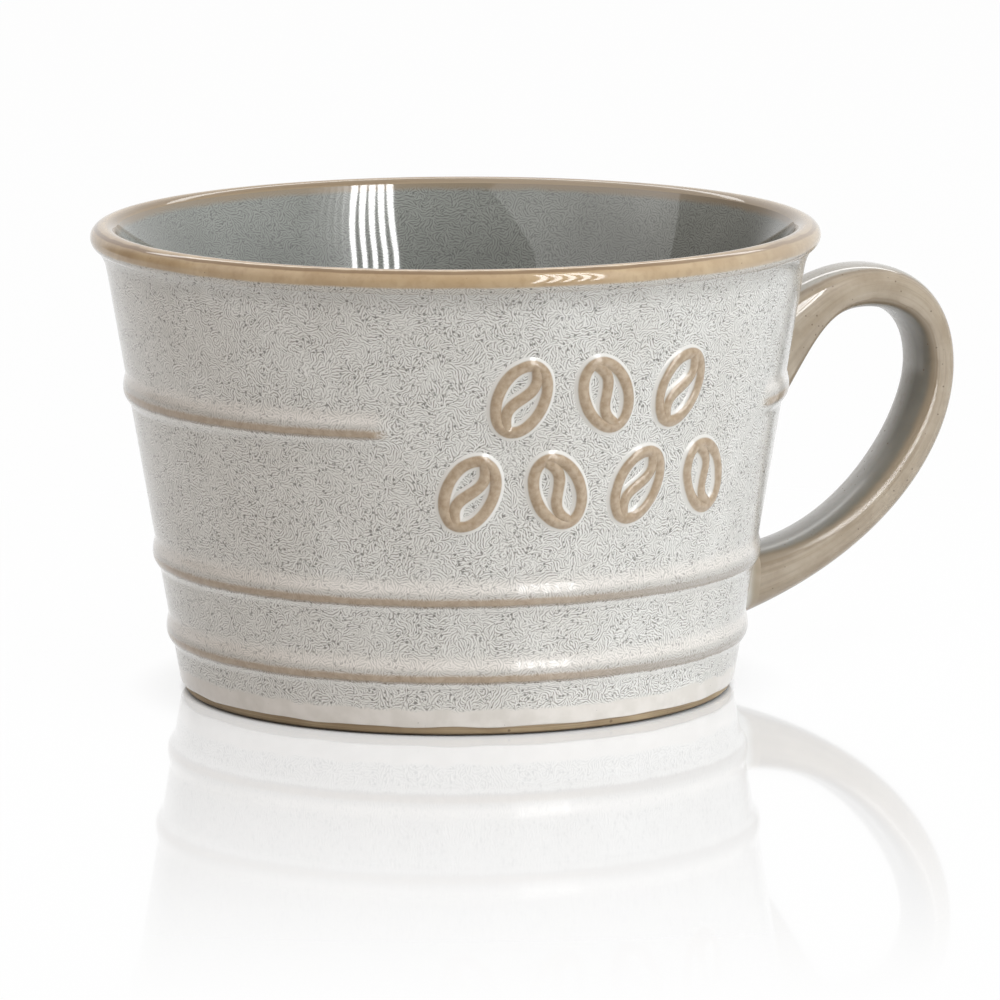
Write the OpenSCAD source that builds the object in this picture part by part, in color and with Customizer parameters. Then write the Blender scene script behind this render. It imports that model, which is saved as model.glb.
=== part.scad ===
// Stoneware coffee cup: a slip-cast bowl with three raised hoops and a rolled lip, a strap handle
// luted on with slip, raised coffee-bean sprigs on the front, and a coat of glaze on each face.
// The origin is the centre of the foot on the table, +Z is up, the handle points along +X and the
// decorated front faces -Y.

/* [Bowl] */
// Height of the clay from the table to the crest of the lip
bowl_h = 73.6; // [68:0.1:82]
// Outer radius of the straight clay wall, carried down to the table
base_r = 43.2; // [40:0.1:47]
// Outer radius of the straight clay wall, carried up to the crest of the lip
top_r = 55.55; // [52:0.05:60]
// Thickness of the clay wall, measured level
wall_t = 3.6; // [3:0.1:5]
// Thickness of the clay floor
floor_t = 4; // [3:0.1:6]
// Radius of the corner where the floor turns up into the wall
corner_r = 9; // [5:0.5:14]

/* [Lip] */
// Width of the rolled lip, measured level
lip_w = 3.4; // [2.8:0.1:4.4]
// Height of the rolled lip
lip_h = 3; // [2.6:0.1:4]
// Height of the cove that carries the wall out to the lip
cove_h = 4.6; // [3:0.1:7]
// Height over which the inside of the wall flares out to the lip
flare_h = 10.8; // [7:0.1:14]

/* [Hoops] */
// Distance of the upper hoop's crest below the crest of the lip
upper_hoop_drop = 25.8; // [20:0.1:30]
// Height of the middle hoop's crest above the table
middle_hoop_z = 21.6; // [19:0.1:28]
// Height of the lower hoop's crest above the table
lower_hoop_z = 9.35; // [7:0.05:12]
// How far a hoop stands out of the wall
hoop_t = 0.78; // [0.5:0.02:1]
// Height of a hoop's flank above its crest
hoop_top_h = 3; // [2.4:0.1:4]
// Height of a hoop's flank below its crest
hoop_low_h = 1.9; // [1.5:0.1:3]
// Angle of the gap that the decorated front leaves in the upper hoop
hoop_gap = 77.6; // [60:0.1:110]
// Angle from the middle of the front round to the middle of that gap
hoop_gap_turn = 1.9; // [-5:0.1:5]

/* [Foot] */
// Width of the bare ring that the cup stands on
foot_w = 4.5; // [3:0.1:7]
// Radius of the foot's outer edge
foot_round = 1.2; // [0.6:0.1:1.6]
// Depth of the recess inside the foot ring
foot_h = 2.2; // [1.5:0.1:4]

/* [Handle] */
// Reach of the strap's outer edge from the cup's axis
handle_reach = 87.9; // [82:0.1:95]
// Thickness of the strap at its outermost point
handle_t = 5.8; // [5:0.1:7]
// Width of the strap across the fingers
handle_w = 11.5; // [10:0.1:14]
// Width of the strap where it meets the wall
root_w = 13; // [12:0.1:16]
// Height of the strap's outermost point above the table
handle_mid_z = 46; // [43:0.1:49]
// Distance of the upper root's top edge below the crest of the lip
upper_root_top_drop = 17.3; // [15:0.1:19]
// Distance of the upper root's tail below the crest of the lip
upper_root_low_drop = 39.8; // [37:0.1:41]
// Height of the lower root's top edge above the table
lower_root_top_z = 18.4; // [17:0.1:21]
// Height of the lower root's bottom edge above the table
lower_root_low_z = 6.4; // [5:0.1:8]
// Distance of the finger opening's highest point below the crest of the lip
opening_top_drop = 17.6; // [16:0.1:20]
// Reach of the finger opening's highest point from the cup's axis
opening_top_reach = 71.6; // [68:0.1:74]

/* [Handle curve] */
// Pull of the outer edge away from the wall at the upper root
outer_arch_run = 16.4; // [12:0.1:20]
// Pull of the outer edge upwards at the upper root
outer_arch_rise = 12.3; // [9:0.1:15]
// Pull of the outer edge upwards from its outermost point
outer_crown = 17.3; // [14:0.1:21]
// Pull of the outer edge downwards from its outermost point
outer_drop = 16; // [12:0.1:20]
// Pull of the outer edge away from the wall at the lower root
outer_leg_run = 26.8; // [22:0.1:30]
// Pull of the outer edge upwards at the lower root
outer_leg_rise = 7.3; // [5:0.1:10]
// Pull of the inner edge away from the wall at the upper root
inner_tail_run = 10.9; // [8:0.1:13]
// Pull of the inner edge upwards at the upper root
inner_tail_rise = 10.8; // [8:0.1:13]
// Pull of the inner edge towards the wall from the opening's highest point
inner_top_in = 12.1; // [9:0.1:14]
// Pull of the inner edge away from the wall from the opening's highest point
inner_top_out = 3.7; // [2.5:0.1:5]
// Pull of the inner edge upwards from its outermost point
inner_crown = 8.9; // [7:0.1:11]
// Pull of the inner edge downwards from its outermost point
inner_drop = 9; // [6:0.1:12]
// Pull of the inner edge away from the wall at the lower root
inner_leg_run = 20.9; // [17:0.1:24]
// Pull of the inner edge upwards at the lower root, which is below nought where it sags
inner_leg_rise = -2.1; // [-4:0.1:1]

/* [Slip joints] */
// Thickness of the slip over the crest of a hoop
slip_t = 0.3; // [0.2:0.05:0.6]
// How far the slip shows round the end of the handle
slip_margin = 1; // [0.5:0.1:2]
// Radius of the slip's corners
slip_round = 5; // [3:0.5:6]
// Hairline between the slip and the end of the handle
joint_gap = 0.1; // [0.05:0.05:0.3]

/* [Bean sprigs] */
// Length of a bean's outline
bean_l = 12.6; // [10:0.1:13]
// Width of a bean's outline
bean_w = 8.8; // [7.4:0.1:9]
// Width of the raised stroke that draws a bean
stroke_w = 1.7; // [1.2:0.1:2]
// How far a bean's crease swings to each side
crease_sway = 1.1; // [0.4:0.1:1.6]
// How far the stroke stands out of the glaze
stroke_t = 0.8; // [0.4:0.1:1.2]
// Lean of every second bean to the left, and of the others to the right
bean_tilt = 24; // [0:1:40]
// Distance from bean to bean along a row
bean_pitch = 13.6; // [12.8:0.1:14]
// Distance of the upper row's middle below the crest of the lip
upper_row_drop = 19.85; // [16:0.05:21]
// Distance of the lower row's middle below the crest of the lip
lower_row_drop = 34.65; // [34:0.05:38]
// Beans in the upper row
upper_beans = 3; // [1:1:4]
// Beans in the lower row
lower_beans = 4; // [1:1:4]

/* [Glaze] */
// Thickness of the coat of glaze
glaze_t = 0.5; // [0.3:0.05:0.7]
// Height of the glaze's lower edge on the wall above the table
glaze_low_z = 1.8; // [1.6:0.1:3]

/* [Hidden] */
$fn = 96;

// Directions, in degrees, at which the cove and the inside flare run into the lip
cove_turn = 58;
flare_turn = 35;
// Points along each flank of a hoop, and along each curved stretch of the bowl's outline
flank_steps = 5;
curve_steps = 8;
// Power that rounds a hoop's crest
crest_power = 1.2;
// Faces round the strap, rings along it, and the power that squares its section
strap_sides = 20;
strap_rings = 44;
strap_power = 0.72;
// Share of the strap's length over which it widens into a root
root_share = 0.2;
// Points round a bean's outline and along its crease
outline_steps = 28;
crease_steps = 12;
// Width and height of a bean's crease, as a share of its outline's
crease_share = 0.9;
// Hairline under the sprigs, so that they lie on the glaze and not in it
sprig_gap = 0.02;

wall_lean = atan((top_r - base_r) / bowl_h);
lip_z = bowl_h - lip_h / 2;
lip_r = wall_r(lip_z);
floor_z = foot_h + floor_t;
foot_r = wall_r(foot_round) - foot_round;
recess_r = foot_r - foot_w;
cove_z = lip_z - lip_h / 2 * sin(cove_turn) - cove_h;
cove_out = lip_r + lip_w / 2 * cos(cove_turn) - wall_r(cove_z + cove_h);
flare_z = lip_z + lip_h / 2 * sin(flare_turn) - flare_h;
flare_out = lip_r - lip_w / 2 * cos(flare_turn) - inner_r(flare_z + flare_h);
slip_out = hoop_t + slip_t;
handle_inner_reach = handle_reach - handle_t;
upper_root_top_z = bowl_h - upper_root_top_drop;
upper_root_low_z = bowl_h - upper_root_low_drop;
opening_top_z = bowl_h - opening_top_drop;
upper_hoop_z = bowl_h - upper_hoop_drop;
upper_row_z = bowl_h - upper_row_drop;
lower_row_z = bowl_h - lower_row_drop;
lower_hoops = [lower_hoop_z, middle_hoop_z];
front_angle = -90;
gap_start = front_angle + hoop_gap_turn - hoop_gap / 2;
gap_end = gap_start + hoop_gap;

// Radius of the straight wall's outer and inner faces at height z
function wall_r(z) = base_r + (top_r - base_r) * z / bowl_h;
function inner_r(z) = wall_r(z) - wall_t;
// Radius of the face that the handle's ends sit on
function root_r(z) = wall_r(z) + slip_out + joint_gap;
function reversed(list) = [for (i = [len(list) - 1:-1:0]) list[i]];
function signed_power(x, power) = sign(x) * pow(abs(x), power);

// Outline of one hoop, from its lower flank to its upper one, moved out by a coat's thickness
function hoop_curve(crest_z, out) = [
    for (i = [-flank_steps:flank_steps])
        let (z = crest_z + (i < 0 ? hoop_low_h : hoop_top_h) * i / flank_steps)
            [wall_r(z) + hoop_t * pow(cos(90 * i / flank_steps), crest_power) + out, z]
];

// Outline of the cove under the lip, which turns from the wall to the lip's underside
function cove_curve(out) = [
    for (i = [0:curve_steps])
        let (t = i / curve_steps, z = cove_z + cove_h * t)
            [wall_r(z) + cove_out * pow(t, 3) + out * cos(cove_turn * t), z - out * sin(cove_turn * t)]
];

// Outline of the wall's outer face from a start height up to the lip
function wall_curve(start_z, hoops, out) = concat(
    [[wall_r(start_z) + out, start_z]],
    [for (crest_z = hoops) each hoop_curve(crest_z, out)],
    cove_curve(out)
);

// Outline of the rolled lip from the cove over the crest to the inside flare
function lip_curve(out) = [
    for (i = [0:2 * curve_steps])
        let (a = -cove_turn + (cove_turn + 180 - flare_turn) * i / (2 * curve_steps))
            [lip_r + (lip_w / 2 + out) * cos(a), lip_z + (lip_h / 2 + out) * sin(a)]
];

// Outline of the inside from the lip down the wall and round the corner to the middle of the floor
function inside_curve(out) = let (corner_z = floor_z + corner_r)
    concat(
        [
            for (i = [curve_steps:-1:0])
                let (t = i / curve_steps, z = flare_z + flare_h * t, turn = flare_turn * t)
                    [inner_r(z) + flare_out * t * t - out * cos(turn), z + out * sin(turn)]
        ],
        [
            for (i = [0:curve_steps])
                let (
                    a = -wall_lean - (90 - wall_lean) * i / curve_steps,
                    center_r = inner_r(corner_z - corner_r * sin(wall_lean)) - corner_r * cos(wall_lean)
                )
                    [center_r + (corner_r - out) * cos(a), corner_z + (corner_r - out) * sin(a)]
        ],
        [[0, floor_z + out]]
    );

// Rounded outer edge of the foot
function foot_curve() = [
    for (i = [0:curve_steps])
        let (a = -90 + 90 * i / curve_steps)
            [foot_r + foot_round * cos(a), foot_round + foot_round * sin(a)]
];

// Edges of the glazed strap in its own plane, as reach from the axis and height: each edge is an arch
// from the upper root to the outermost point and a leg from there to the lower root. The inner arch is
// drawn in two stretches, which meet at the opening's highest point.
function edge_arch(root_z, run, rise, reach, crown) = [
    [root_r(root_z), root_z], [root_r(root_z) + run, root_z + rise],
    [reach, handle_mid_z + crown], [reach, handle_mid_z]
];
function edge_leg(root_z, run, rise, reach, drop) = [
    [reach, handle_mid_z], [reach, handle_mid_z - drop],
    [root_r(root_z) + run, root_z + rise], [root_r(root_z), root_z]
];
outer_arch = edge_arch(upper_root_top_z, outer_arch_run, outer_arch_rise, handle_reach, outer_crown);
outer_leg = edge_leg(lower_root_low_z, outer_leg_run, outer_leg_rise, handle_reach, outer_drop);
inner_tail = [
    [root_r(upper_root_low_z), upper_root_low_z],
    [root_r(upper_root_low_z) + inner_tail_run, upper_root_low_z + inner_tail_rise],
    [opening_top_reach - inner_top_in, opening_top_z], [opening_top_reach, opening_top_z]
];
inner_arch = [
    [opening_top_reach, opening_top_z], [opening_top_reach + inner_top_out, opening_top_z],
    [handle_inner_reach, handle_mid_z + inner_crown], [handle_inner_reach, handle_mid_z]
];
inner_leg = edge_leg(lower_root_top_z, inner_leg_run, inner_leg_rise, handle_inner_reach, inner_drop);

function bezier(p, t) = pow(1 - t, 3) * p[0] + 3 * t * pow(1 - t, 2) * p[1] + 3 * t * t * (1 - t) * p[2]
    + pow(t, 3) * p[3];
function outer_point(s) = s < 0.5 ? bezier(outer_arch, 2 * s) : bezier(outer_leg, 2 * s - 1);
function inner_point(s) = s < 0.25 ? bezier(inner_tail, 4 * s)
    : s < 0.5 ? bezier(inner_arch, 4 * s - 1) : bezier(inner_leg, 2 * s - 1);
// How much of the root's spread the strap has at share s of its length
function near_root(s) = pow(max(0, 1 - min(s, 1 - s) / root_share), 2);

// One ring of the strap at share s of its length, drawn in by a coat's thickness. Near the roots its
// sides fall back with the round wall, so that each end lies on the slip.
function strap_ring(s, inset) = let (
    outer = outer_point(s),
    inner = inner_point(s),
    half = (outer - inner) / 2 * (1 - 2 * inset / norm(outer - inner)),
    side = (handle_w + (root_w - handle_w) * near_root(s)) / 2 - inset
)
    [
        for (k = [0:strap_sides - 1])
            let (
                a = 360 * k / strap_sides,
                p = (outer + inner) / 2 + half * signed_power(sin(a), strap_power),
                y = side * signed_power(cos(a), strap_power),
                fall = root_r(p[1]) - sqrt(pow(root_r(p[1]), 2) - y * y)
            )
                [p[0] - fall * near_root(s), y, p[1]]
    ];
function strap_skin(inset) = [for (i = [0:strap_rings]) each strap_ring(i / strap_rings, inset)];
function end_middle(s) = let (
    p = (outer_point(s) + inner_point(s)) / 2
)
    [p[0], 0, p[1]];

// Triangles of a skin of rings, of a fan that closes a ring, and of a band between two rings
function flipped(faces) = [for (f = faces) [f[0], f[2], f[1]]];
function band(a, b, sides) = [
    for (k = [0:sides - 1])
        let (n = (k + 1) % sides)
            each [[a + k, a + n, b + k], [a + n, b + n, b + k]]
];
function skin_faces(first, rings, sides) = [
    for (i = [0:rings - 1]) each band(first + i * sides, first + (i + 1) * sides, sides)
];
function fan(first, sides, middle) = [for (k = [0:sides - 1]) [first + (k + 1) % sides, first + k, middle]];

module revolve(points, angle = 360, start = 0) {
    rotate_extrude(angle = angle, start = start) polygon(points);
}

// Raised part of the upper hoop, which runs round from one side of the decorated front to the other
module upper_hoop() {
    crest = hoop_curve(upper_hoop_z, 0);
    root_in = wall_t / 2;
    low = crest[0];
    top = crest[len(crest) - 1];
    revolve(concat(crest, [[top[0] - root_in, top[1]], [low[0] - root_in, low[1]]]),
        360 - hoop_gap, gap_end);
}

module body() {
    color([0.80, 0.69, 0.53]) union() {
        revolve(concat(
            [[0, foot_h], [recess_r, foot_h], [recess_r, 0]],
            foot_curve(),
            wall_curve(foot_round, lower_hoops, 0),
            lip_curve(0),
            inside_curve(0)
        ));
        upper_hoop();
    }
}

// Rounded slot through the wall's outer face where a root sits
module root_slot(low_z, top_z) {
    half_w = root_w / 2 + slip_margin;
    half_h = (top_z - low_z) / 2 + slip_margin;
    translate([base_r / 2, 0, (low_z + top_z) / 2]) rotate([90, 0, 90]) linear_extrude(top_r) union() {
        square([2 * half_w, 2 * (half_h - slip_round)], center = true);
        square([2 * (half_w - slip_round), 2 * half_h], center = true);
        for (y = [-1, 1], z = [-1, 1])
            translate([y * (half_w - slip_round), z * (half_h - slip_round)]) circle(slip_round);
    }
}

module slip_joint(low_z, top_z) {
    color([0.74, 0.64, 0.50]) difference() {
        intersection() {
            root_slot(low_z, top_z);
            cylinder(h = bowl_h, r1 = base_r + slip_out, r2 = top_r + slip_out);
        }
        revolve(concat(
            [[0, 0], [foot_r, 0]],
            wall_curve(0, concat(lower_hoops, [upper_hoop_z]), 0),
            [[0, cove_z + cove_h]]
        ));
    }
}

module upper_slip_joint() {
    slip_joint(upper_root_low_z, upper_root_top_z);
}

module lower_slip_joint() {
    slip_joint(lower_root_low_z, lower_root_top_z);
}

module handle() {
    last = strap_rings * strap_sides;
    points = concat(strap_skin(glaze_t), [end_middle(0), end_middle(1)]);
    color([0.76, 0.66, 0.52]) polyhedron(points, concat(
        flipped(skin_faces(0, strap_rings, strap_sides)),
        flipped(fan(0, strap_sides, last + strap_sides)),
        fan(last, strap_sides, last + strap_sides + 1)
    ));
}

module handle_glaze() {
    last = strap_rings * strap_sides;
    inside = last + strap_sides;
    points = concat(strap_skin(0), strap_skin(glaze_t));
    color([0.66, 0.63, 0.58]) polyhedron(points, concat(
        flipped(skin_faces(0, strap_rings, strap_sides)),
        skin_faces(inside, strap_rings, strap_sides),
        band(0, inside, strap_sides),
        flipped(band(last, inside + last, strap_sides))
    ));
}

// Half-round section of a raised stroke, as distance across it and height
stroke_section = [[1, 0], [0.8, 0.55], [0.35, 0.93], [-0.35, 0.93], [-0.8, 0.55], [-1, 0]];

// Point of the front at distance u along a row and height z, lifted off the glaze
function front_point(u, z, row_z, lift) = let (
    a = front_angle + u / (wall_r(row_z) + glaze_t) * 180 / PI,
    r = wall_r(z) + glaze_t + sprig_gap + lift
)
    [r * cos(a), r * sin(a), z];

// Rings of a stroke along a path of points [u, z, share of the full width]
function stroke_rings(path, row_z, closed) = [
    for (i = [0:len(path) - 1])
        let (
            count = len(path),
            before = path[closed ? (i + count - 1) % count : max(i - 1, 0)],
            after = path[closed ? (i + 1) % count : min(i + 1, count - 1)],
            run = [after[0] - before[0], after[1] - before[1]],
            share = path[i][2],
            across = [-run[1], run[0]] / norm(run) * stroke_w / 2 * share
        )
            for (q = stroke_section)
                front_point(
                    path[i][0] + across[0] * q[0], path[i][1] + across[1] * q[0],
                    row_z, stroke_t * q[1] * share
                )
];

module stroke(path, row_z, closed) {
    sides = len(stroke_section);
    rings = len(path);
    last = (rings - 1) * sides;
    seam = closed ? band(last, 0, sides) : concat(
        [for (k = [1:sides - 2]) [0, k + 1, k]],
        [for (k = [1:sides - 2]) [last, last + k, last + k + 1]]
    );
    polyhedron(stroke_rings(path, row_z, closed), flipped(concat(skin_faces(0, rings - 1, sides), seam)));
}

// One coffee bean in outline: an oval and the S-shaped crease along its middle
module bean(u, row_z, tilt) {
    oval_l = bean_l / 2 - stroke_w / 2;
    oval_w = bean_w / 2 - stroke_w / 2;
    oval = [
        for (i = [0:outline_steps - 1])
            let (a = 360 * i / outline_steps)
                [oval_w * cos(a), oval_l * sin(a), 1]
    ];
    crease = [
        for (i = [0:crease_steps])
            let (t = 2 * i / crease_steps - 1)
                [crease_sway * sin(180 * t), oval_l * t, crease_share]
    ];
    function leaned(path) = [
        for (p = path)
            [u + p[0] * cos(tilt) + p[1] * sin(tilt), row_z - p[0] * sin(tilt) + p[1] * cos(tilt), p[2]]
    ];
    stroke(leaned(oval), row_z, true);
    stroke(leaned(crease), row_z, false);
}

module bean_row(count, row_z) {
    color([0.75, 0.66, 0.54])
        for (i = [0:count - 1])
            bean((i - (count - 1) / 2) * bean_pitch, row_z, i % 2 == 0 ? bean_tilt : -bean_tilt);
}

module upper_bean_sprigs() {
    bean_row(upper_beans, upper_row_z);
}

module lower_bean_sprigs() {
    bean_row(lower_beans, lower_row_z);
}

// Coat between an outline and the same outline moved out by the glaze
module wall_coat(hoops, angle, start) {
    revolve(concat(wall_curve(glaze_low_z, hoops, glaze_t), reversed(wall_curve(glaze_low_z, hoops, 0))),
        angle, start);
}

module wall_glaze() {
    color([0.83, 0.82, 0.79]) difference() {
        union() {
            wall_coat(concat(lower_hoops, [upper_hoop_z]), 360 - hoop_gap, gap_end);
            wall_coat(lower_hoops, hoop_gap, gap_start);
        }
        root_slot(upper_root_low_z, upper_root_top_z);
        root_slot(lower_root_low_z, lower_root_top_z);
    }
}

module rim_glaze() {
    color([0.66, 0.56, 0.42]) revolve(concat(lip_curve(glaze_t), reversed(lip_curve(0))));
}

module liner_glaze() {
    color([0.55, 0.58, 0.56]) revolve(concat(inside_curve(glaze_t), reversed(inside_curve(0))));
}

module underside_glaze() {
    color([0.83, 0.82, 0.79]) translate([0, 0, foot_h - glaze_t]) cylinder(h = glaze_t, r = recess_r);
}

body();
handle();
upper_slip_joint();
lower_slip_joint();
upper_bean_sprigs();
lower_bean_sprigs();
wall_glaze();
rim_glaze();
liner_glaze();
underside_glaze();
handle_glaze();
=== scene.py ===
from math import atan2, ceil, cos, pi, radians, sin, sqrt, tau

import bmesh
import bpy
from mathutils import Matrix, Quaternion, Vector, noise


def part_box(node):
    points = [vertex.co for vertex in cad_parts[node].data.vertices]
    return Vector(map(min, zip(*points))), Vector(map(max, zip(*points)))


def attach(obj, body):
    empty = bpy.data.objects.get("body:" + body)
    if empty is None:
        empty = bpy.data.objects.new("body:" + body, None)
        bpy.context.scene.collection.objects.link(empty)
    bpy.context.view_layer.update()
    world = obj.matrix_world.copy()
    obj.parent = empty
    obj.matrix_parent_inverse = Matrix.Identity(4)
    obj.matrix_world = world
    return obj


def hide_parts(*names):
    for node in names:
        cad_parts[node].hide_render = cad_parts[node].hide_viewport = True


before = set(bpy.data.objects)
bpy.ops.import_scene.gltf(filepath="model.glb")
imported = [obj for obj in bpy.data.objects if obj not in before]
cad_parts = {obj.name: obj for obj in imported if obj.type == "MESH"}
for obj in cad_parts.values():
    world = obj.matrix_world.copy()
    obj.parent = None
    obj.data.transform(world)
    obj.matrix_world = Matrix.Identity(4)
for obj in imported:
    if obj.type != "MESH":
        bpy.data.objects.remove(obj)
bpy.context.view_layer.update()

# The camera. A long lens looks at the cup from a little above its rim, with the handle to the right and
# turned away from the lens, and is held a touch off level.
mm = 0.001
camera_turn = radians(25.5)
camera_rise = radians(9.57)
camera_distance = 1279.4 * mm
camera_roll = radians(-0.2)
camera_lens = 290.9
film_width = 36
aim_height = 29.54 * mm
aim_right = 6.85 * mm


def direction(turn, rise):
    return Vector((-sin(turn) * cos(rise), -cos(turn) * cos(rise), sin(rise)))


def placed(name, data):
    thing = bpy.data.objects.new(name, data)
    bpy.context.scene.collection.objects.link(thing)
    return thing


picture_right = Vector((cos(camera_turn), -sin(camera_turn), 0))
aim_point = Vector((0, 0, aim_height))
camera = placed("camera", bpy.data.cameras.new("camera"))
camera.data.lens = camera_lens
camera.data.sensor_width = film_width
camera.location = aim_point + direction(camera_turn, camera_rise) * camera_distance
sight = aim_point + picture_right * aim_right - camera.location
camera.rotation_mode = "QUATERNION"
camera.rotation_quaternion = sight.to_track_quat("-Z", "Y") @ Quaternion((0, 0, 1), camera_roll)
bpy.context.scene.camera = camera
bpy.context.scene.view_settings.view_transform = "Standard"

# The clay bowl. Buff stoneware turned on a wheel in one piece: a straight leaning wall with three raised
# hoops, a rolled lip and a foot ring. The foot is wiped bare, with a painted contact shadow at its edge,
# and glaze covers the rest.
bowl_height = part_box("body")[1].z
base_radius = 43.2 * mm
top_radius = 55.55 * mm
wall_thickness = 3.6 * mm
lip_width = 3.4 * mm
lip_height = 3 * mm
lip_start = radians(-58)
lip_end = radians(145)
cove_height = 4.6 * mm
flare_height = 10.8 * mm
corner_radius = 9 * mm
floor_height = 6.2 * mm
floor_rows = 3 * mm
foot_width = 4.5 * mm
foot_round = 1.2 * mm
foot_inner_round = 0.8 * mm
foot_recess = 2.2 * mm
recess_rows = 4 * mm
# heights over which the painted contact shadow darkens the foot's edge
contact_shadow_edge = (0.2 * mm, 0.6 * mm)
clay_rows = 0.7 * mm
glaze_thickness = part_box("rim_glaze")[1].z - bowl_height
hoop_rise = 0.78 * mm
hoop_reach_above = 3 * mm
hoop_reach_below = 1.9 * mm
hoop_crests = {"Upper Crest": 47.8 * mm, "Middle Crest": 21.6 * mm, "Lower Crest": 9.35 * mm}
front_gap = radians(77.6)
gap_turn = radians(1.9)
hoop_run_out = radians(2.4)
no_gap = -1.0
crest_power = 1.2
outer_skin = 1 * mm
wheel_radius = 100 * mm
wheel_weld = 1e-6
seal_weld = 1e-7
wall_slope = (top_radius - base_radius) / bowl_height
lip_middle = bowl_height - lip_height / 2
hoop_shape = {"Rise": hoop_rise, "Reach Above": hoop_reach_above, "Reach Below": hoop_reach_below,
              "Half Gap": front_gap / 2, "Gap Turn": gap_turn, "Run Out": hoop_run_out,
              "Base Radius": base_radius, "Slope": wall_slope}


def wall_radius(z):
    return base_radius + wall_slope * z


def inner_radius(z):
    return wall_radius(z) - wall_thickness


def shares(count):
    return [i / count for i in range(count + 1)]


def spaced(start, stop, spacing):
    steps = max(1, ceil(abs(stop - start) / spacing))
    return [start + (stop - start) * t for t in shares(steps)]


lip_radius = wall_radius(lip_middle)
cove_start = lip_middle + lip_height / 2 * sin(lip_start) - cove_height
cove_out = lip_radius + lip_width / 2 * cos(lip_start) - wall_radius(cove_start + cove_height)
flare_start = lip_middle + lip_height / 2 * sin(lip_end) - flare_height
flare_out = lip_radius + lip_width / 2 * cos(lip_end) - inner_radius(flare_start + flare_height)
foot_radius = wall_radius(foot_round) - foot_round
recess_radius = foot_radius - foot_width


# Each outline runs as points of radius and height, moved out from the clay by a coat's thickness
def wall_outline(start, spacing, out):
    return [(wall_radius(z) + out, z) for z in spaced(start, cove_start, spacing)]


def cove_outline(out, steps=14):
    points = []
    for t in shares(steps):
        z = cove_start + cove_height * t
        turn = -lip_start * t
        points.append((wall_radius(z) + cove_out * t ** 3 + out * cos(turn), z - out * sin(turn)))
    return points


def lip_outline(out, steps=40):
    points = []
    for t in shares(steps):
        turn = lip_start + (lip_end - lip_start) * t
        points.append((lip_radius + (lip_width / 2 + out) * cos(turn),
                       lip_middle + (lip_height / 2 + out) * sin(turn)))
    return points


def inside_outline(out, spacing=1.2 * mm, steps=18):
    lean = atan2(top_radius - base_radius, bowl_height)
    corner_height = floor_height + corner_radius
    corner_middle = inner_radius(corner_height - corner_radius * sin(lean)) - corner_radius * cos(lean)
    points = []
    for t in reversed(shares(steps)):
        z = flare_start + flare_height * t
        turn = (pi - lip_end) * t
        points.append((inner_radius(z) + flare_out * t ** 2 - out * cos(turn), z + out * sin(turn)))
    wall_end = corner_height - (corner_radius - out) * sin(lean)
    for z in spaced(flare_start, wall_end, spacing)[1:-1]:
        points.append((inner_radius(z) - out, z))
    for t in shares(steps):
        turn = -lean - (pi / 2 - lean) * t
        points.append((corner_middle + (corner_radius - out) * cos(turn),
                       corner_height + (corner_radius - out) * sin(turn)))
    for radius in spaced(corner_middle, 0, floor_rows)[1:]:
        points.append((radius, floor_height + out))
    return points


def round_corner(middle_radius, middle_height, radius, start, stop, steps=10):
    points = []
    for t in shares(steps):
        turn = radians(start + (stop - start) * t)
        points.append((middle_radius + radius * cos(turn), middle_height + radius * sin(turn)))
    return points


def add_node(tree, kind, sockets=None, **settings):
    node = tree.nodes.new(kind)
    for name, value in settings.items():
        setattr(node, name, value)
    for name, value in (sockets or {}).items():
        if isinstance(value, bpy.types.NodeSocket):
            tree.links.new(value, node.inputs[name])
        else:
            node.inputs[name].default_value = value
    return node


def formed(tree, kind, sockets):
    return add_node(tree, "GeometryNode" + kind, sockets).outputs[0]


def reckon(tree, operation, *values, **settings):
    sockets = dict(enumerate(values))
    return add_node(tree, "ShaderNodeMath", sockets, operation=operation, **settings).outputs[0]


def product(tree, first, second):
    return reckon(tree, "MULTIPLY", first, second)


def reckon_vector(tree, operation, first, second=None):
    sockets = {0: first}
    if second is not None:
        sockets["Scale" if operation == "SCALE" else 1] = second
    results = add_node(tree, "ShaderNodeVectorMath", sockets, operation=operation).outputs
    return results["Value" if operation in ("LENGTH", "DOT_PRODUCT") else "Vector"]


def axes_of(tree, vector):
    return add_node(tree, "ShaderNodeSeparateXYZ", {0: vector}).outputs


def vector_of(tree, **axes):
    return add_node(tree, "ShaderNodeCombineXYZ", axes).outputs[0]


def graded(tree, value, low, high, start=0.0, stop=1.0, kind="SMOOTHSTEP"):
    sockets = {"Value": value, "From Min": low, "From Max": high, "To Min": start, "To Max": stop}
    return add_node(tree, "ShaderNodeMapRange", sockets, interpolation_type=kind).outputs[0]


def new_group(name, kind, inputs, outputs):
    tree = bpy.data.node_groups.new(name, kind + "NodeTree")
    for way, sockets in (("INPUT", inputs), ("OUTPUT", outputs)):
        for socket, data in sockets.items():
            tree.interface.new_socket(socket, in_out=way, socket_type="NodeSocket" + data)
    return tree, tree.nodes.new("NodeGroupInput").outputs


def wall_at(tree, given, z):
    return reckon(tree, "ADD", given["Base Radius"], product(tree, given["Slope"], z))


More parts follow.
